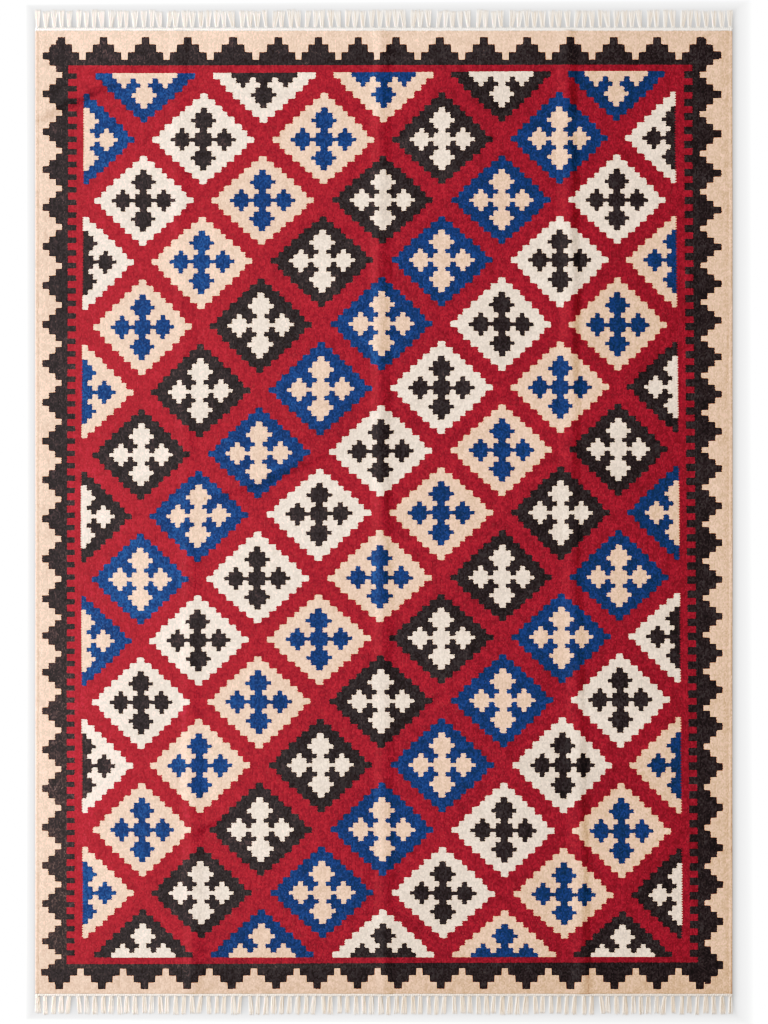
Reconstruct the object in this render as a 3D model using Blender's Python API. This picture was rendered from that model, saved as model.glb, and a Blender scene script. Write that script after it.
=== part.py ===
"""A flat-woven kilim rug, laid flat: one wool cloth with a knotted cotton fringe along each end.

Metres, +Z up. The rug's length runs along Y, its underside lies on z = 0, and the origin is the middle
of the underside.
"""

import math
import random

import bmesh
import bpy

# Sizes over all
RUG_WIDTH = 1.250
RUG_LENGTH = 1.800  # fringes included
PART_GAP = 0.0003  # between the cloth and each fringe's end cord

# The cloth
CLOTH_THICKNESS = 0.0042
SELVEDGE_CORD = 0.0070  # width of the two bound warps along each side
SELVEDGE_GROOVE = 0.0007  # how far the cloth dips beside that cord
RIM_DROP = 0.0011  # the cloth's rim is rounded down by this
END_ROUND = 0.0040  # how far in from each end that rounding starts
EDGE_WAVER = 0.0005  # how far a side strays from straight
FIELD_COLUMN = 0.085  # widest span between two columns of faces
ROWS = 24

# The fringes
END_CORD_WIDTH = 0.0040
END_CORD_HEIGHT = 0.0036
END_CORD_DIP = 0.0006  # the row of knots is lower in places by up to this
LOCKS = 86  # on each end
LOCK_LENGTH = 0.0324  # the longest lock
LOCK_SHORTEST = 0.92  # of the longest
ROOT_WIDTH = 0.0062
ROOT_HEIGHT = 0.0028
TIP_HEIGHT = 0.0020
ROOT_STRAY = 0.0013  # how far a root stands from its even place
LOCK_GAP = 0.0009  # least room between two neighbouring tips
LOCK_STEPS = ((0.45, 0.40), (1.0, 1.0))  # share of the length, and how far a lock has spread there

# Soft ridges left where the rug was folded in store, running its whole length
# x is the crest's middle line, reach half the ridge's width, and wander how far the crest strays from it
FOLDS = (
    {"x": -0.3400, "height": 0.0006, "reach": 0.016, "wander": 0.0030},
    {"x": -0.0045, "height": 0.0013, "reach": 0.015, "wander": 0.0025},
    {"x": 0.3330, "height": 0.0013, "reach": 0.015, "wander": 0.0035},
)

# How the locks lie: those of the far end fan out, those of the near end hang side by side
FRINGES = (
    {"name": "fringe_far_end", "end": 1, "tip_width": 0.0112, "tip_stray": 0.0012, "seed": 5},
    {"name": "fringe_near_end", "end": -1, "tip_width": 0.0090, "tip_stray": 0.0020, "seed": 8},
)

CLOTH_LENGTH = RUG_LENGTH - 2 * (LOCK_LENGTH + END_CORD_WIDTH + PART_GAP)


def clear_scene():
    for item in list(bpy.data.objects):
        bpy.data.objects.remove(item, do_unlink=True)


def yarn_material(name, colour, roughness):
    material = bpy.data.materials.new(name)
    material.use_nodes = True
    shader = material.node_tree.nodes["Principled BSDF"]
    shader.inputs["Base Color"].default_value = (*colour, 1.0)
    shader.inputs["Roughness"].default_value = roughness
    shader.inputs["Metallic"].default_value = 0.0
    return material


def add_object(name, shape, material, collection):
    mesh = bpy.data.meshes.new(name)
    bmesh.ops.recalc_face_normals(shape, faces=shape.faces)
    shape.to_mesh(mesh)
    shape.free()
    mesh.materials.append(material)
    collection.objects.link(bpy.data.objects.new(name, mesh))


def side_stray(along, side):
    """How far a side of the cloth stands inside the full width, at a place along the length."""
    wave = math.sin(2.1 * math.pi * along / CLOTH_LENGTH + side) + 0.5 * math.sin(11 * along + 2 * side)
    return EDGE_WAVER * (1.5 - wave) / 3


def crest_x(fold, along):
    """A fold's crest wanders slowly from side to side."""
    return fold["x"] + fold["wander"] * math.sin(4.2 * along + 9 * fold["x"])


def cloth_columns():
    """The columns of faces from left to right, as (kind, offset, x).

    A left or right column keeps its offset from that side. A fold's column has the fold's number as its
    kind and keeps its offset from the crest.
    """
    half = RUG_WIDTH / 2
    edges = (0.0, SELVEDGE_CORD / 2, SELVEDGE_CORD, 1.5 * SELVEDGE_CORD)
    columns = [("left", inset, -half + inset) for inset in edges]
    columns += [("right", inset, half - inset) for inset in edges]
    for number, fold in enumerate(FOLDS):
        for step in (-1, -0.5, 0, 0.5, 1):
            columns.append((number, step * fold["reach"], fold["x"] + step * fold["reach"]))
    columns.sort(key=lambda column: column[2])
    filled = [columns[0]]
    for column in columns[1:]:
        start = filled[-1][2]
        span = column[2] - start
        pieces = max(1, math.ceil(span / FIELD_COLUMN))
        filled += [("field", 0.0, start + span * step / pieces) for step in range(1, pieces)]
        filled.append(column)
    return filled


def cloth_rows():
    """The rows of faces from the near end to the far end, evenly spaced but for the rounded ends."""
    half = CLOTH_LENGTH / 2
    inner = half - END_ROUND
    return [-half, *(-inner + 2 * inner * row / ROWS for row in range(ROWS + 1)), half]


def column_place(column, along):
    """x and the top's height of a column at a place along the length."""
    kind, offset, x = column
    height = CLOTH_THICKNESS
    if kind in ("left", "right"):
        side = -1 if kind == "left" else 1
        x = side * (RUG_WIDTH / 2 - side_stray(along, side) - offset)
        if offset == 0.0:
            height -= RIM_DROP
        elif offset == SELVEDGE_CORD:
            height -= SELVEDGE_GROOVE
    elif kind != "field":
        fold = FOLDS[kind]
        x = crest_x(fold, along) + offset
        height += fold["height"] * (0.5 + 0.5 * math.cos(math.pi * offset / fold["reach"]))
    return x, height


def grid_number(share, count):
    """Which of count evenly spaced places from -0.5 to 0.5 a share of a unit grid stands at."""
    return round((share + 0.5) * (count - 1))


def add_underside(shape):
    """Gives an open top its walls and a flat underside on the floor."""
    lower = bmesh.ops.extrude_face_region(shape, geom=list(shape.faces), use_keep_orig=True)
    for item in lower["geom"]:
        if isinstance(item, bmesh.types.BMVert):
            item.co.z = 0.0


def build_cloth(material, collection):
    """The woven cloth: a flat slab whose top carries the selvedge cords and the soft fold ridges."""
    columns = cloth_columns()
    rows = cloth_rows()
    shape = bmesh.new()
    bmesh.ops.create_grid(shape, x_segments=len(columns) - 1, y_segments=len(rows) - 1, size=0.5)
    for point in shape.verts:
        column = columns[grid_number(point.co.x, len(columns))]
        row = grid_number(point.co.y, len(rows))
        x, height = column_place(column, rows[row])
        if row in (0, len(rows) - 1):
            height = min(height, CLOTH_THICKNESS - RIM_DROP)
        point.co = (x, rows[row], height)
    add_underside(shape)
    add_object("woven_cloth", shape, material, collection)


def lock_plan(fringe):
    """Each lock's root middle, tip middle, tip width and length, from one side to the other."""
    draw = random.Random(fringe["seed"])
    half = RUG_WIDTH / 2
    first = -half + 2 * EDGE_WAVER + ROOT_WIDTH / 2
    pitch = -2 * first / (LOCKS - 1)
    plan = []
    for number in range(LOCKS):
        root = first + pitch * number
        lean = draw.uniform(-1, 1) * fringe["tip_stray"]
        if number in (0, LOCKS - 1):
            lean = -math.copysign(lean, root)
        else:
            root += draw.uniform(-1, 1) * ROOT_STRAY
        tip = root + lean
        width = fringe["tip_width"] * draw.uniform(0.75, 1.1)
        before = plan[-1][1] + plan[-1][2] / 2 if plan else -half - LOCK_GAP
        room = min(tip - before - LOCK_GAP, half - tip)
        length = LOCK_LENGTH * (draw.uniform(LOCK_SHORTEST, 1.0) if number != LOCKS // 2 else 1.0)
        plan.append((root, tip, min(width, 2 * room), length))
    return plan


def build_fringe(fringe, material, collection):
    """The end cord, a narrow strip across the warp ends, and the locks that grow out of its outer side."""
    end = fringe["end"]
    plan = lock_plan(fringe)
    inner = end * (CLOTH_LENGTH / 2 + PART_GAP)
    outer = inner + end * END_CORD_WIDTH
    half = RUG_WIDTH / 2 - EDGE_WAVER
    stations = [-half]
    for lock in plan:
        stations += [lock[0] - ROOT_WIDTH / 2, lock[0] + ROOT_WIDTH / 2]
    stations.append(half)
    draw = random.Random(fringe["seed"] + 1)
    knots = [END_CORD_HEIGHT - draw.uniform(0, END_CORD_DIP) for _ in stations]

    shape = bmesh.new()
    bmesh.ops.create_grid(shape, x_segments=len(stations) - 1, y_segments=1, size=0.5)
    for point in shape.verts:
        number = grid_number(point.co.x, len(stations))
        outside = point.co.y > 0
        point.co = (stations[number], outer if outside else inner, ROOT_HEIGHT if outside else knots[number])
    add_underside(shape)
    shape.normal_update()

    # The outer side's faces, in order: every second one is the root of a lock
    side = [face for face in shape.faces if all(abs(point.co.y - outer) < 1e-6 for point in face.verts)]
    side.sort(key=lambda face: face.calc_center_median().x)
    for face, (root, tip, width, length) in zip(side[1::2], plan):
        for along, spread in LOCK_STEPS:
            face = bmesh.ops.extrude_discrete_faces(shape, faces=[face])["faces"][0]
            before = face.calc_center_median().x
            middle = root + (tip - root) * spread
            span = ROOT_WIDTH + (width - ROOT_WIDTH) * spread
            for point in face.verts:
                point.co.x = middle + math.copysign(span / 2, point.co.x - before)
                point.co.y = outer + end * length * along
                if point.co.z > 0.0:
                    point.co.z = ROOT_HEIGHT + (TIP_HEIGHT - ROOT_HEIGHT) * along
    add_object(fringe["name"], shape, material, collection)


def main():
    clear_scene()
    collection = bpy.data.collections.new("kilim_rug")
    bpy.context.scene.collection.children.link(collection)
    wool = yarn_material("red_wool_weave", (0.40, 0.022, 0.035), 0.92)
    cotton = yarn_material("undyed_cotton", (0.83, 0.78, 0.70), 0.95)
    build_cloth(wool, collection)
    for fringe in FRINGES:
        build_fringe(fringe, cotton, collection)


main()
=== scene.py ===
"""A flat-woven kilim rug with a knotted fringe along each end, lying on a pale floor under soft studio light.

Metres, +Z up. The rug's length runs along Y, and its far end, +Y, is at the top of the picture.
"""

import math
import random

import bmesh
import bpy
import numpy as np
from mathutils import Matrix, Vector, noise


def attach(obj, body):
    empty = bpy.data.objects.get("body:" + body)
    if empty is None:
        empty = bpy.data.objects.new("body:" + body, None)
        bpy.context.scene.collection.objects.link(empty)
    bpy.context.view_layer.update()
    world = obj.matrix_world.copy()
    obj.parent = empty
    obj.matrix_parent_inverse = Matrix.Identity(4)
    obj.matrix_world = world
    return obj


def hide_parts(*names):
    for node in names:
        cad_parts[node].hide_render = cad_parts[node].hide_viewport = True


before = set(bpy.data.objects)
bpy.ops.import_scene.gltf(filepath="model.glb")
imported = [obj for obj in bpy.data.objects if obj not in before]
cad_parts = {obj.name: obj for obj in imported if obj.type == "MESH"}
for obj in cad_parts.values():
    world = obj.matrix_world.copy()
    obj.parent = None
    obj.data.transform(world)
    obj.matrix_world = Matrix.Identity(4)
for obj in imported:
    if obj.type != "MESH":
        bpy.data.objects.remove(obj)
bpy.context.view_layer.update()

# ---------------------------------------------------------------------------------------------------------
# The woven cloth
# One piece of weft-faced wool tapestry. Cotton warps run along its length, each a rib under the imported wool
# weft, and every colour is woven in. Two bound warps make the cord along each side.

MM = 0.001
RUG_WIDTH = 1.250
RUG_LENGTH = 1.800  # fringes included
LOCK_LENGTH = 0.0324
END_CORD_WIDTH = 0.0040
PART_GAP = 0.0003  # between the cloth and each fringe's end cord
CLOTH_LENGTH = RUG_LENGTH - 2 * (LOCK_LENGTH + END_CORD_WIDTH + PART_GAP)
CLOTH_THICKNESS = 0.0042
SELVEDGE_CORD = 0.0070  # width of the two bound warps along each side
SELVEDGE_GROOVE = 0.0003  # how far the cloth dips beside that cord
GROOVE_REACH = 0.45  # that dip's reach to either side, as a share of the cord's width
SIDE_ROUND = 0.0018  # how far in, and how far down, the sides are rounded
END_ROUND = 0.0030  # how far in the ends are rounded
END_DROP = 0.0006  # and how far down
EDGE_WAVER = 0.0005  # how far a side strays from straight
WAVER_REACH = 0.03  # how far in the cloth gives way to that
UNDER_ROUND = 0.0012  # the underside's edge lifts by this
UNDER_SHARE = 0.8  # how much of the folds' and creases' rise the underside shares
WAVES = 0.0005  # how far the cloth's top swells between its tighter and looser warps
CALM_ENDS = 0.02  # that swell fades out this close to an end

COLUMN_SPAN = 0.0084  # the mesh's widest span
ROW_SPAN = 0.0096
CREST_SPAN = 0.0022  # and its span across a fold

# Ridges left where the rug was folded in store, in millimetres: some places from the near end to the far end,
# and each fold's crest line and height there. Reach is a ridge's width to the left and right of its crest.
FOLD_PLACES = (-750, -550, -340, -120, 90, 310, 520, 740)
FOLDS = (
    {"reach": (19, 30), "crest": (-345, -347, -351, -351, -355, -361, -368, -372),
     "height": (2.1, 2.5, 1.7, 1.4, 1.1, 0.8, 1.4, 1.2)},
    {"reach": (20, 26), "crest": (0, 0, -3, -4, -8, -9, -9, -7),
     "height": (1.9, 2.2, 1.2, 3.2, 3.0, 2.9, 2.5, 2.7)},
    {"reach": (27, 19), "crest": (355, 351, 347, 340, 336, 336, 334, 329),
     "height": (2.3, 2.6, 2.3, 1.9, 1.8, 3.2, 3.3, 3.0)},
)
CREST_SWAY = 0.0012  # how far a crest sways from its line, in metres
HEIGHT_SWAY = 0.15  # and how far its height sways, as a share of it

# Small creases in millimetres from the rug's middle, from left to right: the points each passes through, how
# wide its steep lower side is, how far its soft sides reach, how high it rises, and how much shade is painted
# on its steep side
CREASES = (
    {"points": ((-622, 699), (-581, 721), (-540, 740), (-512, 753), (-462, 772)),
     "steep": 14, "reach": 26, "height": 2.6, "painted_shade": 0.33},
    {"points": ((-308, 27), (-258, 38), (-213, 54), (-168, 74), (-95, 98)),
     "steep": 18, "reach": 26, "height": 3.6, "painted_shade": 0.06},
    {"points": ((-345, -580), (-300, -556), (-250, -540)),
     "steep": 13, "reach": 22, "height": 1.9, "painted_shade": 0.03},
    {"points": ((-190, 492), (-110, 496), (-39, 488)),
     "steep": 11, "reach": 18, "height": 1.7, "painted_shade": 0.06},
    {"points": ((110, -420), (190, -432), (268, -470)),
     "steep": 14, "reach": 26, "height": 1.5, "painted_shade": 0.03},
    {"points": ((-61, -812), (47, -812)),
     "steep": 10, "reach": 16, "height": 1.3, "painted_shade": 0.04},
)
CREASE_DIP = 0.3  # how far a crease sinks below its steep side, as a share of its rise
CREASE_CUTS = 2  # the mesh's faces near a crease are cut this many times each way
CUT_MARGIN = 8  # and near means this many millimetres past its steep side

# The lattice of stepped diamonds, in millimetres from the rug's middle. A hand-woven pattern drifts, so each
# column of diamonds is placed on the first, the ninth and the last row, and each row at the left, the middle
# and the right.
LAST_ROW = 14  # the field ends on the middle of the last row's diamonds
COLUMN_ROWS = (0, 8, LAST_ROW)
COLUMN_LINES = (
    (-533, -540, -536),
    (-430, -437, -432),
    (-322, -335, -327),
    (-215, -228, -219),
    (-106, -118, -109),
    (0, -8, -1),
    (104, 102, 106),
    (211, 212, 217),
    (314, 317, 324),
    (416, 421, 428),
    (519, 526, 532),
)
ROW_PLACES = (-430, -5, 420)
ROW_LINES = (
    (780, 783, 784),
    (667, 667, 670),
    (558, 559, 559),
    (448, 452, 452),
    (331, 338, 335),
    (214, 222, 224),
    (102, 109, 113),
    (-8, -1, -1),
    (-121, -118, -117),
    (-231, -226, -223),
    (-341, -339, -336),
    (-455, -453, -454),
    (-570, -569, -572),
    (-683, -682, -687),
    (-793, -793, -793),
)
LATTICE_ROUNDS = 5  # a place's column and row depend on each other, and settle in this many rounds

# The border's steps, in millimetres in from the cloth's edge: a black tooth's tip, shoulder and foot, the
# black band the teeth stand on, the comb (sides only), the red guard, and the field. Each is given at both
# ends and the middle of its side.
SIDE_PLACES = (-660, 0, 660)
LEFT_STEPS = (
    (12, 12, 13), (23, 24, 25), (35, 35, 37), (47, 47, 48), (55, 56, 59), (71, 72, 75), (85, 82, 87),
)
RIGHT_STEPS = (
    (17, 19, 20), (28, 30, 35), (39, 42, 47), (50, 55, 59), (62, 67, 72), (77, 83, 87), (91, 96, 103),
)
END_PLACES = (-400, 0, 400)
FAR_STEPS = ((12, 12, 12), (25, 25, 25), (39, 39, 39), (53, 53, 53), (63, 62, 61), (77, 75, 73))
NEAR_STEPS = ((8, 9, 8), (20, 21, 21), (32, 33, 33), (45, 46, 46), (53, 55, 56), (65, 65, 66))
# Which of those steps, counted from 1 at a tooth's tip, is which
BAND_STEP = 4
INNER_STEP = 5  # the comb along the sides, and the red guard across the ends
SIDE_GUARD_STEP = 6
SIDE_FIELD_STEP = 7
END_FIELD_STEP = 6

# Where some of the teeth and of the comb's bars stand, counted from the left or from the far end
FAR_TEETH = {0: -578, 3: -352, 5: -189, 7: -46, 8: 21, 10: 179, 12: 334, 15: 567}
NEAR_TEETH = {0: -582, 3: -353, 5: -193, 6: -120, 8: 25, 11: 255, 13: 413, 15: 566}
LEFT_TEETH = {0: 817, 4: 546, 8: 266, 12: -12, 14: -156, 16: -287, 20: -565, 23: -770, 24: -824}
RIGHT_TEETH = {0: 819, 3: 607, 6: 409, 8: 278, 12: 11, 16: -253, 18: -384, 21: -602, 23: -733, 24: -812}
LEFT_BARS = {0: 781, 24: 238, 48: -294, 71: -790}
RIGHT_BARS = {0: 784, 20: 282, 40: -223, 62: -791}
LEFT_BAR_SHARE = 0.225  # half a bar's height, as a share of its pitch
RIGHT_BAR_SHARE = 0.265
END_TEETH = 16
SIDE_TEETH = 25


def along_fold(fold, what, along):
    """A fold's crest line or height at places along the rug, in metres."""
    return np.interp(along, np.array(FOLD_PLACES) * MM, np.array(fold[what]) * MM)


def side_stray(along, side):
    """How far a side of the cloth stands inside the full width, at a place along the length."""
    wave = np.sin(2.1 * math.pi * along / CLOTH_LENGTH + side) + 0.5 * np.sin(11 * along + 2 * side)
    return EDGE_WAVER * (1.5 - wave) / 3


def spread_lines(marks, span):
    """Fills the stretches between marks with evenly spaced lines, no further apart than the span."""
    lines = [marks[0]]
    for mark in marks[1:]:
        pieces = max(1, math.ceil((mark - lines[-1]) / span - 1e-6))
        start = lines[-1]
        lines += [start + (mark - start) * step / pieces for step in range(1, pieces + 1)]
    return lines


def cloth_columns():
    """The mesh's lines from left to right, close together at the sides and across each fold."""
    edge = [0.0, 0.0005, 0.0012, SIDE_ROUND, 0.0035, 0.0050, 0.0061, SELVEDGE_CORD, 0.0079, 0.0092]
    marks = [-RUG_WIDTH / 2 + inset for inset in edge] + [RUG_WIDTH / 2 - inset for inset in edge]
    for fold in FOLDS:
        start = (min(fold["crest"]) - fold["reach"][0]) * MM
        end = (max(fold["crest"]) + fold["reach"][1]) * MM
        marks += spread_lines([start, end], CREST_SPAN)
    return spread_lines(sorted(marks), COLUMN_SPAN)


def cloth_rows():
    """The mesh's lines from the near end to the far end."""
    edge = [0.0, 0.0006, 0.0015, END_ROUND, 0.0060]
    half = CLOTH_LENGTH / 2
    return spread_lines([-half + inset for inset in edge] + [half - inset for inset in edge[::-1]], ROW_SPAN)


def soft_hump(distance, left, right):
    """A rounded ridge's height, 1 at its crest and 0 from its reach on, to either side."""
    reach = np.where(distance < 0, left, right)
    return 0.5 + 0.5 * np.cos(math.pi * np.clip(np.abs(distance) / reach, 0, 1))


def crease_place(crease, x, y):
    """How far above a crease's line a place is, below zero under it, and how strong the crease is there."""
    off = np.full_like(x, 1e9)
    share = np.zeros_like(x)
    points = np.array(crease["points"], float) * MM
    spans = np.hypot(*np.diff(points, axis=0).T)
    before = 0.0
    for start, end, span in zip(points[:-1], points[1:], spans):
        way = (end - start) / span
        along = np.clip((x - start[0]) * way[0] + (y - start[1]) * way[1], 0, span)
        far = np.hypot(x - start[0] - along * way[0], y - start[1] - along * way[1])
        above = np.sign((y - start[1]) * way[0] - (x - start[0]) * way[1])
        share = np.where(far < np.abs(off), (before + along) / spans.sum(), share)
        off = np.where(far < np.abs(off), far * above, off)
        before += span
    return off, np.sqrt(np.sin(math.pi * (0.03 + 0.94 * share)))


def cloth_relief(x, y):
    """How far folds and creases lift the cloth or press it down."""
    relief = np.zeros_like(x)
    for fold in FOLDS:
        left, right = fold["reach"]
        sway = CREST_SWAY * np.sin(31 * y + left)
        height = along_fold(fold, "height", y) * (1 + HEIGHT_SWAY * np.sin(47 * y + fold["crest"][0]))
        relief += height * soft_hump(x - along_fold(fold, "crest", y) - sway, left * MM, right * MM)
    for crease in CREASES:
        off, fade = crease_place(crease, x, y)
        steep, reach = crease["steep"] * MM, crease["reach"] * MM
        rise = soft_hump(off - steep / 2, steep, reach)
        dip = CREASE_DIP * soft_hump(off + steep / 2, reach, steep)
        relief += crease["height"] * MM * fade * (rise - dip)
    return relief


def painted_crease_shade(x, y):
    """How dark the shade painted on the creases' steep sides is."""
    painted_shade = np.zeros_like(x)
    for crease in CREASES:
        off, fade = crease_place(crease, x, y)
        reach = crease["steep"] * MM
        painted_shade += crease["painted_shade"] * fade * soft_hump(off, reach, reach)
    return painted_shade


def cloth_swell(x, y):
    """The slow unevenness of a hand-woven cloth's top."""
    swell = [noise.noise(Vector((5.5 * a, 3.2 * b, 0.4))) + 0.5 * noise.noise(Vector((15 * a, 9 * b, 3.1)))
             for a, b in zip(x, y)]
    return WAVES * np.array(swell)


def rounded(inset, reach, drop):
    """How far a rounded edge lies below the flat, at a distance in from it."""
    short = 1 - np.clip(inset / reach, 0, 1)
    return drop * (1 - np.sqrt(1 - short * short))


def cut_near_creases(shape):
    """Cuts the top's faces finer wherever a crease passes."""
    top = [face for face in shape.faces if face.calc_center_median().z > -0.1]
    middles = np.array([face.calc_center_median() for face in top])
    near = np.zeros(len(top), bool)
    for crease in CREASES:
        off, _ = crease_place(crease, middles[:, 0], middles[:, 1])
        near |= np.abs(off) < (crease["steep"] + CUT_MARGIN) * MM
    cut = {face for face, close in zip(top, near) if close}
    edges = [edge for edge in shape.edges if any(face in cut for face in edge.link_faces)]
    bmesh.ops.subdivide_edges(shape, edges=edges, cuts=CREASE_CUTS, use_grid_fill=True)


def build_cloth():
    """A grid for the top, its walls and underside extruded from it, then both laid in shape."""
    columns = cloth_columns()
    rows = cloth_rows()
    shape = bmesh.new()
    bmesh.ops.create_grid(shape, x_segments=len(columns) - 1, y_segments=len(rows) - 1, size=0.5)
    for point in shape.verts:
        point.co.x = columns[round((point.co.x + 0.5) * (len(columns) - 1))]
        point.co.y = rows[round((point.co.y + 0.5) * (len(rows) - 1))]
    lower = bmesh.ops.extrude_face_region(shape, geom=list(shape.faces), use_keep_orig=True)
    for item in lower["geom"]:
        if isinstance(item, bmesh.types.BMVert):
            item.co.z = -1.0
    cut_near_creases(shape)
    bmesh.ops.recalc_face_normals(shape, faces=shape.faces)
    mesh = bpy.data.meshes.new("kilim_cloth")
    shape.to_mesh(mesh)
    shape.free()

    places = np.zeros(len(mesh.vertices) * 3, np.float32)
    mesh.vertices.foreach_get("co", places)
    x, y, level = places.reshape(-1, 3).T.astype(float)
    under = level < -0.5

    side_inset = RUG_WIDTH / 2 - np.abs(x)
    end_inset = CLOTH_LENGTH / 2 - np.abs(y)
    side = np.where(x < 0, -1, 1)
    x = x - side * side_stray(y, side) * np.clip(1 - side_inset / WAVER_REACH, 0, 1)

    relief = cloth_relief(x, y)
    top = CLOTH_THICKNESS + relief + cloth_swell(x, y) * np.clip(end_inset / CALM_ENDS, 0, 1)
    top -= rounded(side_inset, SIDE_ROUND, SIDE_ROUND) + rounded(end_inset, END_ROUND, END_DROP)
    groove_reach = GROOVE_REACH * SELVEDGE_CORD
    top -= SELVEDGE_GROOVE * soft_hump(side_inset - SELVEDGE_CORD, groove_reach, groove_reach)
    bottom = UNDER_SHARE * np.maximum(relief, 0)
    bottom += rounded(np.minimum(side_inset, end_inset), 2 * UNDER_ROUND, UNDER_ROUND)

    laid = np.stack((x, y, np.where(under, bottom, top)), axis=1)
    mesh.vertices.foreach_set("co", laid.astype(np.float32).ravel())
    mesh.shade_smooth()
    mesh.update()
    return mesh, x, y


def lines_at(table, places, at):
    """Where each of a table's lines runs at each place, in metres: one row for each place."""
    return np.stack([np.interp(at, places, line) for line in np.array(table) * MM], axis=1)


def count_along(lines, at):
    """How many lines lie before a place, with the share of the next stretch, running on past both ends."""
    last = lines.shape[1] - 2
    number = np.clip((lines < at[:, None]).sum(axis=1) - 1, 0, last)
    rows = np.arange(len(at))
    start, end = lines[rows, number], lines[rows, number + 1]
    return number + (at - start) / (end - start)


def count_by(marks, at):
    """The number of the tooth or bar at a place, from the few whose places are known."""
    numbers = np.array(list(marks), float)
    places = np.array(list(marks.values()), float) * MM
    rising = np.sign(places[-1] - places[0])
    stretch = count_along(np.broadcast_to(places * rising, (len(at), len(places))), at * rising)
    first = np.clip(np.floor(stretch).astype(int), 0, len(places) - 2)
    return numbers[first] + (stretch - first) * (numbers[first + 1] - numbers[first])


def add_pattern(mesh, x, y):
    """Stores each point's place in the pattern: the lattice, the border's steps, and its teeth and bars."""
    v = np.full_like(x, LAST_ROW / 2)
    for _ in range(LATTICE_ROUNDS):
        u = count_along(lines_at(COLUMN_LINES, COLUMN_ROWS, np.clip(v, 0, LAST_ROW)), x)
        v = count_along(-lines_at(ROW_LINES, np.array(ROW_PLACES) * MM, x), -y)

    left = x < 0
    far = y > 0
    side_inset = RUG_WIDTH / 2 - np.abs(x)
    end_inset = CLOTH_LENGTH / 2 - np.abs(y)
    side_places = np.array(SIDE_PLACES) * MM
    end_places = np.array(END_PLACES) * MM
    step_in = 1 + np.where(left, count_along(lines_at(LEFT_STEPS, side_places, y), side_inset),
                           count_along(lines_at(RIGHT_STEPS, side_places, y), side_inset))
    step_down = 1 + np.where(far, count_along(lines_at(FAR_STEPS, end_places, x), end_inset),
                             count_along(lines_at(NEAR_STEPS, end_places, x), end_inset))
    end_tooth = np.where(far, count_by(FAR_TEETH, x), count_by(NEAR_TEETH, x))
    side_tooth = np.where(left, count_by(LEFT_TEETH, y), count_by(RIGHT_TEETH, y))
    bar = np.where(left, count_by(LEFT_BARS, y), count_by(RIGHT_BARS, y))
    share = np.where(left, LEFT_BAR_SHARE, RIGHT_BAR_SHARE)

    # The lattice's third part is the shade painted along the creases' steep sides
    for name, parts in (("lattice", (u, v, painted_crease_shade(x, y))), ("border", (step_in, step_down, share)),
                        ("teeth", (end_tooth, side_tooth, bar))):
        layer = mesh.attributes.new(name, "FLOAT_VECTOR", "POINT")
        layer.data.foreach_set("vector", np.stack(parts, axis=1).astype(np.float32).ravel())


class Finish:
    """A material and its shader."""

    def __init__(self, name, roughness, sheen, sheen_roughness):
        self.material = bpy.data.materials.new(name)
        self.material.use_nodes = True
        self.nodes = self.material.node_tree.nodes
        self.links = self.material.node_tree.links
        self.shader = self.nodes["Principled BSDF"]
        self.shader.inputs["Roughness"].default_value = roughness
        self.shader.inputs["Specular IOR Level"].default_value = 0.5
        self.shader.inputs["Sheen Weight"].default_value = sheen
        self.shader.inputs["Sheen Roughness"].default_value = sheen_roughness

    def feed(self, socket, value):
        if isinstance(value, Term):
            self.links.new(value.socket, socket)
        else:
            socket.default_value = value

    def node(self, kind, settings=None, inputs=None, output=0):
        """Adds a node: its settings come first, then what its sockets take."""
        node = self.nodes.new("ShaderNode" + kind)
        for name, value in (settings or {}).items():
            if name == "stops":
                self.set_stops(node.color_ramp, value)
            elif name == "interpolation":
                node.color_ramp.interpolation = value
            else:
                setattr(node, name, value)
        for name, value in (inputs or {}).items():
            self.feed(node.inputs[name], value)
        return Term(self, node.outputs[output])

    def set_stops(self, ramp, stops):
        for number, (place, colour) in enumerate(stops):
            stop = ramp.elements[number] if number < 2 else ramp.elements.new(place)
            stop.position = place
            stop.color = (*colour, 1.0)

    def attribute(self, name):
        """The three parts of a vector attribute."""
        read = self.node("Attribute", {"attribute_name": name}, output="Vector")
        return [self.node("SeparateXYZ", None, {0: read}, part) for part in range(3)]

    def place(self):
        return self.node("TexCoord", output="Object")

    def vector(self, x, y, z=0.0):
        return self.node("CombineXYZ", None, {0: x, 1: y, 2: z})

    def noise(self, place, scale, detail=2.0, roughness=0.5):
        """A soft noise from -1 to 1."""
        made = self.node("TexNoise", {"noise_dimensions": "2D"},
                         {"Vector": place, "Scale": scale, "Detail": detail, "Roughness": roughness})
        return made * 2 - 1

    def chance(self, place):
        """A random number from -1 to 1 for each whole-number place."""
        return self.node("TexWhiteNoise", {"noise_dimensions": "2D"}, {"Vector": place}) * 2 - 1

    def chart(self, value, stops):
        """Reads a stepped chart: each stop's colour, or number, holds as far as the next."""
        rows = [(place, row if isinstance(row, tuple) else (row, row, row)) for place, row in stops]
        return self.node("ValToRGB", {"interpolation": "CONSTANT", "stops": rows}, {0: value})

    def grey(self, value):
        """A grey of one value."""
        return self.node("CombineColor", None, {0: value, 1: value, 2: value})

    def mix(self, factor, first, second, blend="MIX"):
        """Sockets 6 and 7 are the two colours, and output 2 is the mixed one."""
        first, second = [(*c, 1.0) if isinstance(c, tuple) else c for c in (first, second)]
        settings = {"data_type": "RGBA", "blend_type": blend}
        return self.node("Mix", settings, {0: factor, 6: first, 7: second}, 2)

    def bump(self, height, distance):
        made = self.node("Bump", None, {"Height": height, "Distance": distance, "Strength": 1.0})
        self.feed(self.shader.inputs["Normal"], made)


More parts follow.
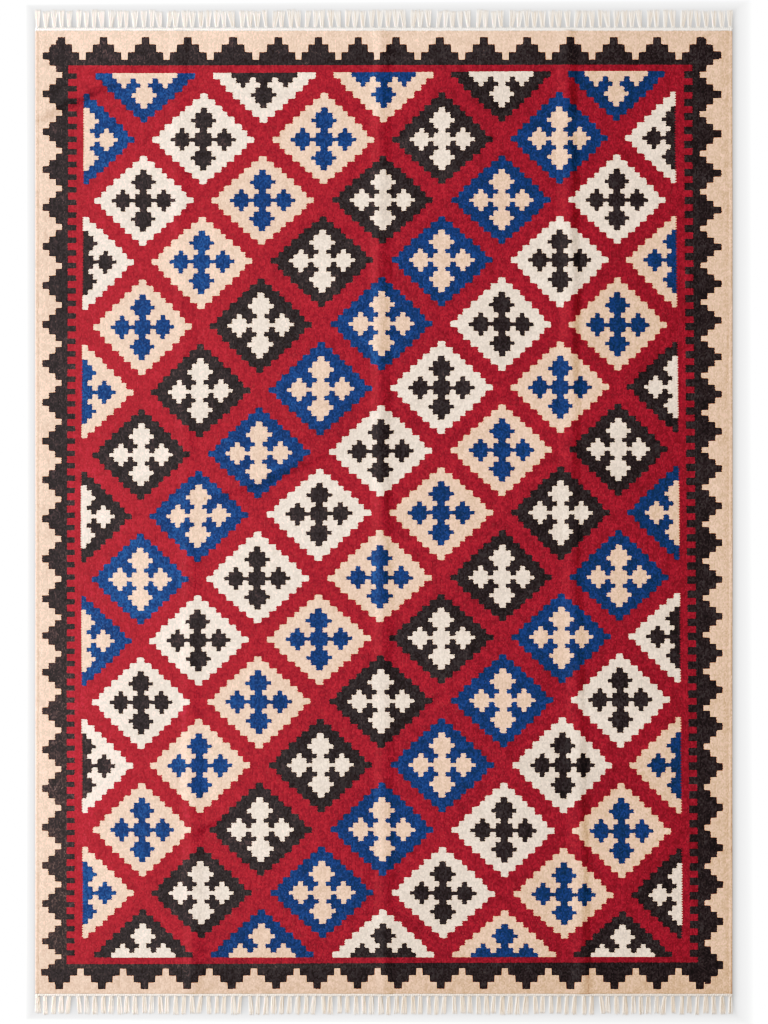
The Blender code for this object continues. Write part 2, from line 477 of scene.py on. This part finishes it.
class Term:
    """A socket that shader maths can be written with."""

    def __init__(self, finish, socket):
        self.finish = finish
        self.socket = socket

    def maths(self, operation, *values):
        return self.finish.node("Math", {"operation": operation}, dict(enumerate(values)))

    def __add__(self, other):
        return self.maths("ADD", self, other)

    def __radd__(self, other):
        return self.maths("ADD", other, self)

    def __sub__(self, other):
        return self.maths("SUBTRACT", self, other)

    def __rsub__(self, other):
        return self.maths("SUBTRACT", other, self)

    def __mul__(self, other):
        return self.maths("MULTIPLY", self, other)

    def __rmul__(self, other):
        return self.maths("MULTIPLY", other, self)

    def __lt__(self, other):
        return self.maths("LESS_THAN", self, other)

    def __gt__(self, other):
        return self.maths("GREATER_THAN", self, other)

    def __mod__(self, other):
        return self.maths("FLOORED_MODULO", self, other)

    def __abs__(self):
        return self.maths("ABSOLUTE", self)

    def whole(self):
        return self.maths("ROUND", self)

    def floor(self):
        return self.maths("FLOOR", self)

    def least(self, other):
        return self.maths("MINIMUM", self, other)

    def most(self, other):
        return self.maths("MAXIMUM", self, other)

    def sine(self):
        return self.maths("SINE", self)


# The wools' colours, stepped towards the photo's by a fit of its tones
RED = (0.229, 0.0203, 0.0337)
BLACK = (0.0378, 0.0282, 0.0287)
BLUE = (0.0155, 0.0552, 0.1285)
TAN = (0.681, 0.411, 0.287)
CREAM = (0.700, 0.551, 0.442)
COTTON = (0.850, 0.760, 0.670)  # the bare warps at the cloth's ends
# How much a dye varies, by its redness: blue, black, red, and the undyed wools
UNEVEN_CHART = ((0.0, 0.56), (0.025, 0.92), (0.1, 0.49), (0.5, 0.31))
# Soft patches where the wool is lighter or darker: the middle and reach in millimetres, and how much paler it
# is. The last three, darker strips along the left side and the near end and a lighter strip along the far
# end, are painted shade and painted light.
TONE_AND_PAINTED_LIGHT_PATCHES = (
    {"middle": (-580, -450), "reach": (120, 330), "paler": 0.09},
    {"middle": (540, -740), "reach": (170, 140), "paler": 0.05},
    {"middle": (-110, 720), "reach": (200, 120), "paler": 0.04},
    {"middle": (-100, 150), "reach": (180, 120), "paler": -0.05},
    {"middle": (0, -730), "reach": (260, 110), "paler": -0.03},
    {"middle": (-530, 430), "reach": (150, 230), "paler": -0.02},
    {"middle": (440, 370), "reach": (130, 150), "paler": -0.04},
    {"middle": (-660, 0), "reach": (125, 1700), "paler": -0.13},
    {"middle": (-100, -910), "reach": (1300, 150), "paler": -0.15},
    {"middle": (-250, 910), "reach": (800, 150), "paler": 0.15},
)

# A stepped diamond and the cross inside it, in shares of the lattice: from each distance off its middle row,
# how far the shape reaches to each side. The cross has a core and, further out, an arm that starts and ends.
DIAMOND_CHART = (
    (0.000, 0.848), (0.045, 0.724), (0.143, 0.641), (0.243, 0.517), (0.356, 0.393),
    (0.443, 0.310), (0.533, 0.186), (0.635, 0.062), (0.729, 0.000),
)
CROSS_CHART = (
    (0.000, (0.551, 1.0, 1.0)), (0.031, (0.143, 0.235, 0.473)), (0.107, (0.064, 0.309, 0.393)),
    (0.180, (0.143, 1.0, 1.0)), (0.267, (0.217, 1.0, 1.0)), (0.330, (0.145, 1.0, 1.0)),
    (0.424, (0.060, 1.0, 1.0)), (0.507, (0.000, 1.0, 1.0)),
)
# Diagonal bands of diamonds, four and four: the colour of the diamond and of its cross
BAND_COLOURS = ((BLUE, TAN), (CREAM, BLACK), (TAN, BLUE), (BLACK, CREAM))
# Half a tooth's width at its tip, shoulder and foot, as a share of the pitch, by the border's step
TOOTH_CHART = ((0.0, 0.0), (0.25, 0.095), (0.50, 0.257), (0.75, 0.427))

DIAMOND_HALF = 0.848  # the slope through the middles of a diamond's steps: its reach on the middle row,
DIAMOND_SLOPE = 1.163  # and how fast it draws in from there
ARM_ACROSS = 0.355  # how far off the cross's middle the two side petals' middles are,
ARM_ALONG = 0.30  # and those of the two above and below
PETAL = 0.2  # a petal's reach
SLANT = 0.08  # how far a step's tread and riser lean towards the slope that it follows
TOOTH_SLANT = 0.05
TOOTH_SLOPE = 0.167  # how fast a tooth widens from step to step, as a share of the pitch
PALE_SHRINK = 0.005  # dark yarn crowds in over a pale cross by this share of the lattice
WARPS = 48  # ribs to a column of the lattice
PICKS = 86  # passes of weft to a row of it

# How far the edges of the colours stray, in shares of the lattice: slowly, from pick to pick, and where two
# colours share a warp. Then the same for the border, in shares of its steps.
WAVER = 0.010
RAGGED = 0.006
SHARED = 0.009
ROW_WAVER = 0.008
ROW_RAGGED = 0.006
SIDE_RAGGED = 0.040
SIDE_SHARED = 0.05
FIELD_SHARED = 0.09
END_RAGGED = 0.03

# How strong each kind of unevenness in the wool is
DYE = 0.22
CLOUDY = 0.52
MOTTLE = 0.20
STREAK = 0.28
HEATHER = 0.60
LOT = 0.10  # from one diamond to the next
DEEPEN = 0.6  # pale places stand out more than dark ones, by the square of their unevenness
RIB_SHADE = 0.05  # how much shade is painted into the groove between two ribs
WARP_ENDS = 0.15  # how far in the bare warps at the cloth's ends reach, counted as the border's steps are
BLACK_TO_CREAM = 0.018  # how far the lower left side's black is mixed towards cream
FLECK_CHANCE = 0.94  # a fleck stands where chance is above this
FLECK = 0.03  # and this is how pale it is


def wool_finish():
    """Dyed wool, packed over the warps."""
    wool = Finish("kilim_wool", roughness=0.92, sheen=0.06, sheen_roughness=0.5)
    u, v, painted_shade = wool.attribute("lattice")
    step_in, step_down, bar_share = wool.attribute("border")
    end_tooth, side_tooth, bar = wool.attribute("teeth")
    place = wool.place()
    place_x, place_y = [wool.node("SeparateXYZ", None, {0: place}, part) for part in (0, 1)]

    # The yarns: one rib for each warp, and one bead of weft over it for each second pick
    warp = u * WARPS
    rib = warp.floor()
    pick = v * PICKS
    odd_rib = rib % 2
    bead = (pick * 0.5 + odd_rib * 0.5).floor()
    rib_round = abs(((warp % 1) - 0.5) * 2)
    bead_round = abs((((pick * 0.5 + odd_rib * 0.5) % 1) - 0.5) * 2)

    # A colour changes at a warp, a little sooner or later from pick to pick, and two colours share their last
    # warp
    waver = wool.noise(wool.vector(u, v), 1.7, 1.0)
    ragged = wool.chance(wool.vector(pick.floor(), (u * 2).floor()))
    shared = (pick * 0.57).floor() % 2 - 0.5
    u = u + waver * WAVER + ragged * RAGGED + shared * SHARED
    row_waver = wool.noise(wool.vector(u, v), 2.3, 1.0)
    v = v + row_waver * ROW_WAVER + wool.chance(wool.vector(rib, bead)) * ROW_RAGGED
    v = v.most(0).least(LAST_ROW)
    step_in = step_in + ragged * SIDE_RAGGED + shared * SIDE_SHARED
    step_down = step_down + wool.chance(wool.vector(rib, rib)) * END_RAGGED

    # The field: each place belongs to the diamond that it lies nearest to
    band = ((u + v - 1) * 0.5).whole()
    across = ((u - v - 1) * 0.5).whole()
    off_u = abs(u - (band + across + 1))
    off_v = abs(v - (band - across))
    band_place = (band % 4) * 0.25 + 0.125
    pale_cross = wool.chart(band_place, ((0.0, 1.0), (0.25, 0.0), (0.75, 1.0)))
    past = (off_u + off_v * DIAMOND_SLOPE - DIAMOND_HALF) * SLANT
    diamond = off_u + past < wool.chart(off_v + past, DIAMOND_CHART)
    petal = (off_u + off_v).least(abs(off_u - ARM_ACROSS) + off_v).least(off_u + abs(off_v - ARM_ALONG))
    past = (petal - PETAL) * SLANT + pale_cross * PALE_SHRINK
    cross_row = wool.chart(off_v + pale_cross * PALE_SHRINK, CROSS_CHART)
    core, arm_start, arm_end = [wool.node("SeparateColor", None, {0: cross_row}, part) for part in range(3)]
    cross = (off_u + past < core).most((off_u - past > arm_start) * (off_u + past < arm_end))
    in_field = (step_in + shared * FIELD_SHARED > SIDE_FIELD_STEP) * (step_down > END_FIELD_STEP)
    diamond_colours, cross_colours = [
        wool.chart(band_place, [(number * 0.25, pair[part]) for number, pair in enumerate(BAND_COLOURS)])
        for part in (0, 1)
    ]
    colour = wool.mix(diamond * in_field, RED, diamond_colours)
    colour = wool.mix(cross * in_field, colour, cross_colours)

    # The border: tan, the black teeth and band, the red guard, and the comb along the sides
    inner = (step_in > INNER_STEP) * (step_down > INNER_STEP)
    comb = (step_in > INNER_STEP) * (step_in < SIDE_GUARD_STEP) * (step_down > END_FIELD_STEP)
    bars = abs(bar - bar.whole()) < bar_share
    nearest_end = end_tooth.whole().most(0).least(END_TEETH - 1)
    nearest_side = side_tooth.whole().most(0).least(SIDE_TEETH - 1)
    teeth = (step_in > BAND_STEP) * (step_down > BAND_STEP)
    for off, step in ((abs(end_tooth - nearest_end), step_down), (abs(side_tooth - nearest_side), step_in)):
        past = off - (step - 1) * TOOTH_SLOPE
        row = wool.chart((step - past * 6 * TOOTH_SLANT) * 0.25, TOOTH_CHART)
        teeth = teeth.most((off + past * TOOTH_SLANT < row) * (step < BAND_STEP))
    paler_black = ((side_tooth - 12) * 0.1).most(0).least(1) * (place_x < 0) * (step_down > BAND_STEP)
    margin = wool.mix(teeth, TAN, wool.mix(paler_black * BLACK_TO_CREAM, BLACK, CREAM))
    margin = wool.mix(step_down < WARP_ENDS, margin, COTTON)
    colour = wool.mix(inner, margin, colour)
    colour = wool.mix(comb * bars, colour, BLACK)

    # Hand-dyed, hand-spun yarn: slow changes of dye, streaks along the ribs, beads of unlike depth, and pale
    # flecks
    dye = wool.noise(place, 9.0, 2.0)
    cloudy = wool.noise(place, 60.0, 2.0)
    mottle = wool.noise(place, 480.0, 1.0)
    streak = wool.noise(wool.vector(warp * 0.9, v * 14), 1.0, 2.0, 0.6)
    heather = wool.chance(wool.vector(rib, (pick * 0.46 + odd_rib * 0.5).floor()))
    lot = wool.chance(wool.vector(band, across)) * diamond * in_field
    uneven = dye * DYE + cloudy * CLOUDY + mottle * MOTTLE + streak * STREAK + heather * HEATHER + lot * LOT
    uneven = uneven * wool.chart(wool.node("SeparateColor", None, {0: colour}), UNEVEN_CHART)
    # Painted shade in the groove between two ribs
    groove = 1 - RIB_SHADE * (rib_round * rib_round)
    # The creases' steep sides are darkened with painted shade
    shade = (1 + uneven + uneven * uneven * DEEPEN) * groove * (1 - painted_shade)
    # Lighter and darker patches; the strips along the left side and both ends are painted shade and light
    for patch in TONE_AND_PAINTED_LIGHT_PATCHES:
        (at_x, at_y), (wide, long) = patch["middle"], patch["reach"]
        across_x = (place_x - at_x * MM) * (1 / (wide * MM))
        across_y = (place_y - at_y * MM) * (1 / (long * MM))
        near = (1 - across_x * across_x - across_y * across_y).most(0)
        shade = shade * (1 + near * patch["paler"])
    colour = wool.mix(1.0, colour, wool.grey(shade), "MULTIPLY")
    fleck = wool.chance(wool.vector(rib, (pick * 0.6).floor())) > FLECK_CHANCE
    colour = wool.mix(fleck * FLECK, colour, CREAM)
    wool.feed(wool.shader.inputs["Base Color"], colour)
    wool.feed(wool.shader.inputs["Roughness"], 0.92 + streak * 0.06)

    ribs = 1 - rib_round * rib_round
    beads = 1 - bead_round * bead_round
    fuzz = wool.noise(place, 900.0, 2.0)
    wool.bump(ribs * (0.4 + beads * 0.3) + fuzz * 0.5 + streak * 0.2, 0.0004)
    return wool.material


cloth_mesh, cloth_x, cloth_y = build_cloth()
add_pattern(cloth_mesh, cloth_x, cloth_y)
cloth_mesh.materials.append(wool_finish())
cloth = bpy.data.objects.new("kilim_cloth", cloth_mesh)
bpy.context.scene.collection.objects.link(cloth)
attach(cloth, "root")
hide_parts("woven_cloth")

# ---------------------------------------------------------------------------------------------------------
# The two fringes
# The cotton warps run on past each end of the cloth. Two yarns twined round them make the end cord that locks
# the last weft, and past it they lie loose in locks of seven to ten, each yarn of two twisted plies.

LOCKS = 86  # on each end
LOCK_SHORTEST = 0.92  # of the longest
ROOT_WIDTH = 0.0062
ROOT_STRAY = 0.0013  # how far a root stands from its even place
LOCK_GAP = 0.0009  # least room between two neighbouring tips
CORD_GRIP = 0.0013  # how far the end cord bites over the cloth's edge
TWIST_PITCH = 0.0040  # from one half turn of the end cord's two yarns to the next
TWIST_SLANT = 32  # how far a half turn slants, in degrees
TURN_LONG = 0.0034  # half its length, width and height
TURN_WIDE = 0.0021
TURN_HIGH = 0.0025
KNOT_WIDE = 0.0030  # half the width, depth and height of the knot where a lock leaves the cord
KNOT_DEEP = 0.0017
KNOT_HIGH = 0.0018
KNOT_IN = 0.0018  # how far in from the cord's outer side it sits
YARN_RADIUS = 0.00090
YARN_SIDES = 6
YARN_STEPS = 8
YARN_TUCK = 0.0020  # how far inside the end cord a yarn starts
YARN_SWAY = 0.0006
YARN_LIFT = 0.0007  # every second yarn starts this much higher
INNER_PAINTED_SHADE = 0.35  # how much darker a lock's middle yarns are painted, as shade falling between the yarns
# Each end's locks. Tips: how wide and how stray they are. Cord: the end cord's width. Yarns: how many to a
# lock. Reach: their length, as a share of the lock's. Bushy: how much wider they spread than the lock is, and
# flare, how late. Crossing: how often two of them cross. Lean: how far a lock leans at a parting. Shades: how
# dark yarns and cord are.
FRINGES = (
    {"name": "fringe_far_end", "end": 1, "tip_width": 0.0112, "tip_stray": 0.0012, "seed": 5,
     "cord": 0.0056, "yarns": (8, 9, 10), "reach": (0.99, 1.07), "bushy": 1.28, "flare": 1.15,
     "crossing": 0.40, "lean": 0.0048, "shades": (0.10, 0.58), "cord_shades": (0.0, 0.10)},
    {"name": "fringe_near_end", "end": -1, "tip_width": 0.0090, "tip_stray": 0.0020, "seed": 8,
     "cord": 0.0042, "yarns": (7, 8, 9), "reach": (1.02, 1.09), "bushy": 1.22, "flare": 0.65,
     "crossing": 0.25, "lean": 0.0030, "shades": (0.33, 0.92), "cord_shades": (0.42, 0.62)},
)
# Where the combed locks part and lean away to both sides, in millimetres across the far end and the near end
PARTINGS = {
    "fringe_far_end": (-498, -389, -269, -204, -141, -79, 40, 95, 164, 226, 343, 409, 468, 531),
    "fringe_near_end": (-560, -325, -245, -120, -14, 122, 260, 385, 505),
}
PARTING_REACH = 0.024
COTTON_TONES = ((0.0, (0.910, 0.850, 0.780)), (1.0, (0.700, 0.540, 0.400)))  # by a yarn's shade
PLY_TWIST = 60  # how fast the two plies turn, in radians over a yarn's length


def lock_plan(fringe):
    """Each lock's root middle, tip middle, tip width and length, from one side to the other."""
    draw = random.Random(fringe["seed"])
    half = RUG_WIDTH / 2
    first = -half + 2 * EDGE_WAVER + ROOT_WIDTH / 2
    pitch = -2 * first / (LOCKS - 1)
    plan = []
    for number in range(LOCKS):
        root = first + pitch * number
        lean = draw.uniform(-1, 1) * fringe["tip_stray"]
        if number in (0, LOCKS - 1):
            lean = -math.copysign(lean, root)
        else:
            root += draw.uniform(-1, 1) * ROOT_STRAY
        tip = root + lean
        width = fringe["tip_width"] * draw.uniform(0.75, 1.1)
        before = plan[-1][1] + plan[-1][2] / 2 if plan else -half - LOCK_GAP
        room = min(tip - before - LOCK_GAP, half - tip)
        length = LOCK_LENGTH * (draw.uniform(LOCK_SHORTEST, 1.0) if number != LOCKS // 2 else 1.0)
        plan.append((root, tip, min(width, 2 * room), length))
    return plan


def yarn_template():
    """A plain rod one unit long and one in radius, cut across so that it can bend."""
    shape = bmesh.new()
    bmesh.ops.create_cone(shape, cap_ends=True, segments=YARN_SIDES, radius1=1.0, radius2=1.0, depth=1.0)
    bmesh.ops.translate(shape, vec=(0, 0, 0.5), verts=shape.verts)
    long_edges = [edge for edge in shape.edges if abs(edge.verts[0].co.z - edge.verts[1].co.z) > 0.5]
    bmesh.ops.subdivide_edges(shape, edges=long_edges, cuts=YARN_STEPS - 1)
    mesh = bpy.data.meshes.new("yarn_template")
    shape.to_mesh(mesh)
    shape.free()
    return mesh


def bead_template():
    """A small round bead."""
    shape = bmesh.new()
    bmesh.ops.create_uvsphere(shape, u_segments=8, v_segments=6, radius=1.0)
    mesh = bpy.data.meshes.new("bead_template")
    shape.to_mesh(mesh)
    shape.free()
    return mesh


def smooth(share):
    """Eases from 0 to 1."""
    share = min(1.0, max(0.0, share))
    return share * share * (3 - 2 * share)


class FringeMesh:
    """Gathers a fringe's yarns and beads in one mesh, with each point's place on its yarn and its shade."""

    def __init__(self):
        self.shape = bmesh.new()
        self.lie = self.shape.verts.layers.float_vector.new("lie")
        self.shade = self.shape.verts.layers.float.new("shade")

    def add(self, template, shade, laid):
        """Copies a template and moves each of its points to where laid puts it."""
        count = len(self.shape.verts)
        self.shape.from_mesh(template)
        for point in list(self.shape.verts)[count:]:
            point[self.lie] = (point.co.x, point.co.y, point.co.z)
            point[self.shade] = shade
            point.co = laid(point.co)


def add_lock(gathered, template, draw, fringe, lock):
    """One lock: its yarns flare out of the end cord, draw together, then spread to the tips."""
    end = fringe["end"]
    root, tip, width, length = lock
    for parting in PARTINGS[fringe["name"]]:
        off = root - parting * MM
        tip += math.copysign(fringe["lean"], off) * max(0.0, 1 - abs(off) / PARTING_REACH)
    width *= fringe["bushy"]
    outer = end * (CLOTH_LENGTH / 2 + PART_GAP + END_CORD_WIDTH)
    count = draw.choice(fringe["yarns"])
    slots = [2 * number / (count - 1) - 1 for number in range(count)]
    ends = [min(1.0, max(-1.0, slot + draw.uniform(-0.7, 0.7) / count)) for slot in slots]
    if draw.random() < fringe["crossing"]:
        swapped = draw.randrange(count - 1)
        ends[swapped], ends[swapped + 1] = ends[swapped + 1], ends[swapped]
    for number in range(count):
        radius = YARN_RADIUS * draw.uniform(0.85, 1.1)
        at_root = slots[number] * (ROOT_WIDTH / 2 - radius)
        at_tip = ends[number] * (width / 2 - radius)
        reach = length * draw.uniform(*fringe["reach"])
        sway = draw.uniform(-1, 1) * YARN_SWAY
        lift = YARN_LIFT * (number % 2)
        # A lock's middle yarns are darkened with painted shade
        shade = draw.uniform(*fringe["shades"]) + INNER_PAINTED_SHADE * (1 - abs(slots[number]))

        def laid(point, radius=radius, at_root=at_root, at_tip=at_tip, reach=reach, sway=sway, lift=lift):
            share = point.z
            neck = at_root * (1.40 - 0.50 * smooth(share / 0.18))
            off = neck + (at_tip - neck) * share**fringe["flare"] + sway * math.sin(math.pi * share)
            thick = radius * (1 - 0.15 * share**4 - 0.4 * share**20)
            height = thick + (lift + 0.0004 * (1 - share)) * (1 - smooth(1.15 * share))
            return Vector((
                root + (tip - root) * share + off + thick * point.x,
                outer + end * (-YARN_TUCK + (reach + YARN_TUCK) * share),
                height + thick * point.y,
            ))

        gathered.add(template, shade, laid)


def add_end_cord(gathered, bead, draw, fringe, plan):
    """The twined cord, a row of slanting half turns, and a small knot where each lock leaves it."""
    end = fringe["end"]
    middle = end * (CLOTH_LENGTH / 2 + PART_GAP + END_CORD_WIDTH / 2)
    half = RUG_WIDTH / 2 - EDGE_WAVER
    turns = round(2 * half / TWIST_PITCH)
    slant = math.radians(TWIST_SLANT)
    for number in range(turns):
        at = -half + TURN_WIDE + (2 * half - 2 * TURN_WIDE) * number / (turns - 1)
        high = TURN_HIGH * draw.uniform(0.92, 1.0)
        turn = slant + math.radians(draw.uniform(-5, 5))

        def laid(point, at=at, high=high, turn=turn):
            a, b = TURN_LONG * point.x, TURN_WIDE * point.y
            x = at + a * math.cos(turn) - b * math.sin(turn)
            y = middle + a * math.sin(turn) + b * math.cos(turn)
            out = end * (y - middle)
            out *= fringe["cord"] / END_CORD_WIDTH if out > 0 else 1.0
            out = max(-END_CORD_WIDTH / 2 - CORD_GRIP, min(fringe["cord"] - END_CORD_WIDTH / 2, out))
            return Vector((x, middle + end * out, high * (1 + point.z)))

        gathered.add(bead, draw.uniform(*fringe["cord_shades"]), laid)
    at_y = middle + end * (fringe["cord"] - KNOT_IN)
    for root, _, _, _ in plan:
        wide = KNOT_WIDE * draw.uniform(0.85, 1.1)

        def laid(point, root=root, wide=wide):
            return Vector((root + wide * point.x, at_y + KNOT_DEEP * point.y, KNOT_HIGH * (1 + point.z)))

        gathered.add(bead, draw.uniform(*fringe["cord_shades"]) + 0.1, laid)


def cotton_finish():
    """Undyed cotton, twisted in two plies."""
    cotton = Finish("undyed_cotton", roughness=0.95, sheen=0.08, sheen_roughness=0.5)
    around_x, around_y, along = cotton.attribute("lie")
    shade = cotton.node("Attribute", {"attribute_name": "shade"}, output="Fac")
    turn = around_y.maths("ARCTAN2", around_y, around_x)
    ply = abs((turn + along * PLY_TWIST).sine())
    mottled = cotton.noise(cotton.place(), 420.0, 2.0)
    # Painted light: the last term makes the yarns lighter towards their tips
    shade = shade + mottled * 0.15 - along * along * along * 0.25
    tone = cotton.node("ValToRGB", {"stops": COTTON_TONES}, {0: shade})
    cotton.feed(cotton.shader.inputs["Base Color"], tone)
    cotton.bump(ply + mottled * 0.3, 0.00012)
    return cotton.material


cotton = cotton_finish()
yarn = yarn_template()
bead = bead_template()
for fringe in FRINGES:
    draw = random.Random(fringe["seed"] + 20)
    plan = lock_plan(fringe)
    gathered = FringeMesh()
    for lock in plan:
        add_lock(gathered, yarn, draw, fringe, lock)
    add_end_cord(gathered, bead, draw, fringe, plan)
    bmesh.ops.recalc_face_normals(gathered.shape, faces=gathered.shape.faces)
    fringe_mesh = bpy.data.meshes.new(fringe["name"] + "_yarns")
    gathered.shape.to_mesh(fringe_mesh)
    gathered.shape.free()
    fringe_mesh.shade_smooth()
    fringe_mesh.materials.append(cotton)
    piece = bpy.data.objects.new(fringe["name"] + "_yarns", fringe_mesh)
    bpy.context.scene.collection.objects.link(piece)
    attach(piece, "root")
    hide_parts(fringe["name"])
bpy.data.meshes.remove(yarn)
bpy.data.meshes.remove(bead)

# ---------------------------------------------------------------------------------------------------------
# The studio
# A floor with a painted white glow, dimmed close to the rug as a painted shadow, a large soft light low on
# the left, an even soft light from above, a pale room, and a camera with a long lens straight over the rug.

FLOOR_SIZE = 30.0
PAPER = (0.20, 0.20, 0.20)
# The floor is given a painted glow, dimmed close to the rug as a painted shadow: its glow by how many
# millimetres beyond the cloth's sides and its ends a place is
SIDE_GLOW_AND_PAINTED_SHADOW = ((0, 0.32), (4, 0.60), (10, 0.83), (19, 0.98), (30, 1.07), (60, 1.25))
END_GLOW_AND_PAINTED_SHADOW = ((0, 0.36), (20, 0.48), (33, 0.63), (40, 0.76), (47, 0.96), (56, 1.10), (80, 1.25))
GLOW_MOST = 1.25
ROOM_LIGHT = 0.42
CAMERA_HEIGHT = 8.0
PICTURE_LENGTH = 1.836  # how much of the floor the picture's height takes in
SENSOR = 36.0
TONE_WHITE = 1.36  # the light that the picture shows as pure white
# The picture's tone curve: a light, and how bright it shows. Its values come from a fit to the photo's tones.
TONE_POINTS = (
    (0.012, 0.0005), (0.02, 0.0015), (0.03, 0.0035), (0.045, 0.0084), (0.07, 0.0248), (0.11, 0.049),
    (0.17, 0.121), (0.26, 0.240), (0.40, 0.422), (0.60, 0.584), (0.85, 0.735), (1.10, 0.848), (1.28, 0.912),
)


def studio_floor():
    """A sheet of pale paper with a painted glow, dimmed close to the rug as a painted shadow."""
    shape = bmesh.new()
    bmesh.ops.create_grid(shape, x_segments=1, y_segments=1, size=FLOOR_SIZE / 2)
    mesh = bpy.data.meshes.new("studio_floor")
    shape.to_mesh(mesh)
    shape.free()
    paper = Finish("studio_paper", roughness=0.9, sheen=0.0, sheen_roughness=0.5)
    paper.shader.inputs["Base Color"].default_value = (*PAPER, 1.0)
    x, y, _ = [paper.node("SeparateXYZ", None, {0: paper.place()}, part) for part in range(3)]
    glows = []
    for away, table in ((abs(x) - RUG_WIDTH / 2, SIDE_GLOW_AND_PAINTED_SHADOW), (abs(y) - CLOTH_LENGTH / 2, END_GLOW_AND_PAINTED_SHADOW)):
        last = table[-1][0]
        stops = [(beyond / last, (glow / GLOW_MOST,) * 3) for beyond, glow in table]
        glows.append(paper.node("ValToRGB", {"stops": stops}, {0: away * (1 / (last * MM))}))
    # Painted glow, and painted shadow where it dims close to the rug
    glow = glows[0].most(glows[1])
    paper.shader.inputs["Emission Strength"].default_value = GLOW_MOST
    paper.feed(paper.shader.inputs["Emission Color"], paper.grey(glow))
    mesh.materials.append(paper.material)
    floor = bpy.data.objects.new("studio_floor", mesh)
    bpy.context.scene.collection.objects.link(floor)


def soft_light(name, place, size, power, gloss=True):
    """A rectangular light that faces the rug's middle."""
    lamp = bpy.data.lights.new(name, "AREA")
    lamp.shape = "RECTANGLE"
    lamp.size, lamp.size_y = size
    lamp.energy = power
    light = bpy.data.objects.new(name, lamp)
    light.location = place
    light.visible_glossy = gloss
    light.rotation_euler = (-Vector(place)).to_track_quat("-Z", "Y").to_euler()
    bpy.context.scene.collection.objects.link(light)


studio_floor()
soft_light("left_window", place=(-3.3, -0.15, 1.35), size=(1.6, 1.6), power=313.0)
soft_light("overhead", place=(1.1, 2.5, 4.2), size=(4.0, 4.0), power=96.0, gloss=False)

world = bpy.data.worlds.new("studio_room")
world.use_nodes = True
world.node_tree.nodes["Background"].inputs["Color"].default_value = (1.0, 1.0, 1.0, 1.0)
world.node_tree.nodes["Background"].inputs["Strength"].default_value = ROOM_LIGHT
world.cycles_visibility.glossy = False
bpy.context.scene.world = world

lens = bpy.data.cameras.new("camera")
lens.sensor_width = SENSOR
lens.lens = SENSOR * CAMERA_HEIGHT / PICTURE_LENGTH
lens.clip_end = 100.0
camera = bpy.data.objects.new("camera", lens)
camera.location = (0.0, 0.0, CAMERA_HEIGHT)
bpy.context.scene.collection.objects.link(camera)
bpy.context.scene.camera = camera

view = bpy.context.scene.view_settings
view.view_transform = "Standard"
view.look = "None"
view.use_curve_mapping = True
tone = view.curve_mapping
tone.white_level = (TONE_WHITE, TONE_WHITE, TONE_WHITE)
tone.extend = "HORIZONTAL"
line = tone.curves[3]
for light_in, light_out in TONE_POINTS:
    line.points.new(light_in / TONE_WHITE, light_out)
line.points[0].location = (0.0, 0.0)
line.points[len(line.points) - 1].location = (1.0, 1.0)
tone.update()
